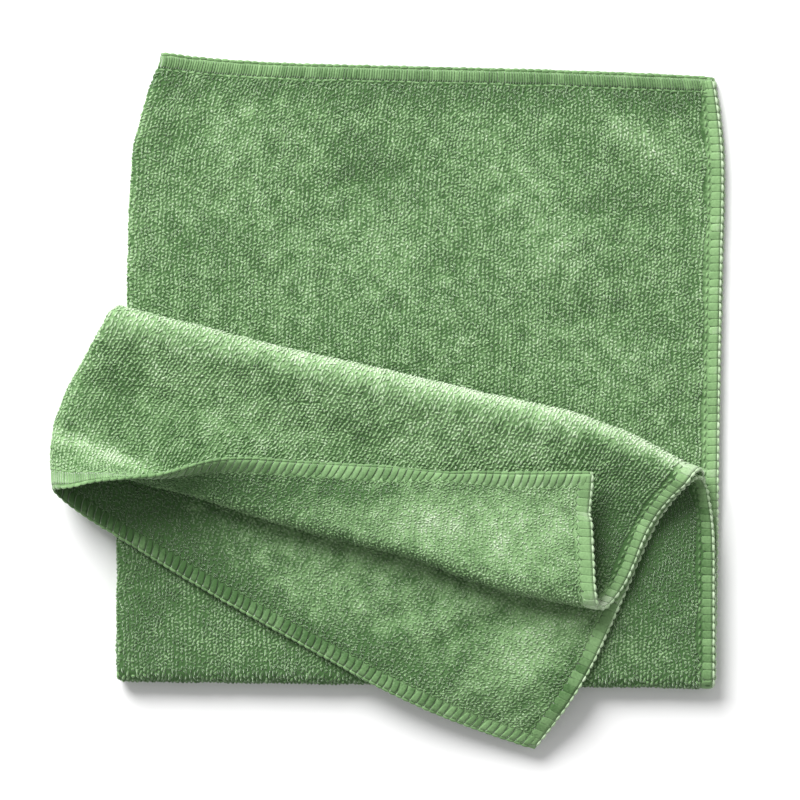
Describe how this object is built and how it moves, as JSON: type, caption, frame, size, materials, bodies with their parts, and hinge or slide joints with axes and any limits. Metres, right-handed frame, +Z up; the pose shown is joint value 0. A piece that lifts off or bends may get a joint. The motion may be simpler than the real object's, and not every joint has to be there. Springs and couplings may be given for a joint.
{
  "type": "folded microfibre cleaning cloth",
  "caption": "Square looped microfibre cloth with an overlocked edge, folded in half, turned back over itself and left with a loose rolled flap.",
  "frame": {"origin": "middle of the bounding box, at the surface the folded cloth lies on", "axes": "+Z up from the surface, +Y away from the bottom turn towards the top hem, +X towards the side hems"},
  "size_m": [0.2238, 0.2312, 0.0332],
  "materials": {
    "microfibre": "matt looped pile"
  },
  "bodies": {
    "root": {"cloth": "microfibre"}
  },
  "joints": []
}
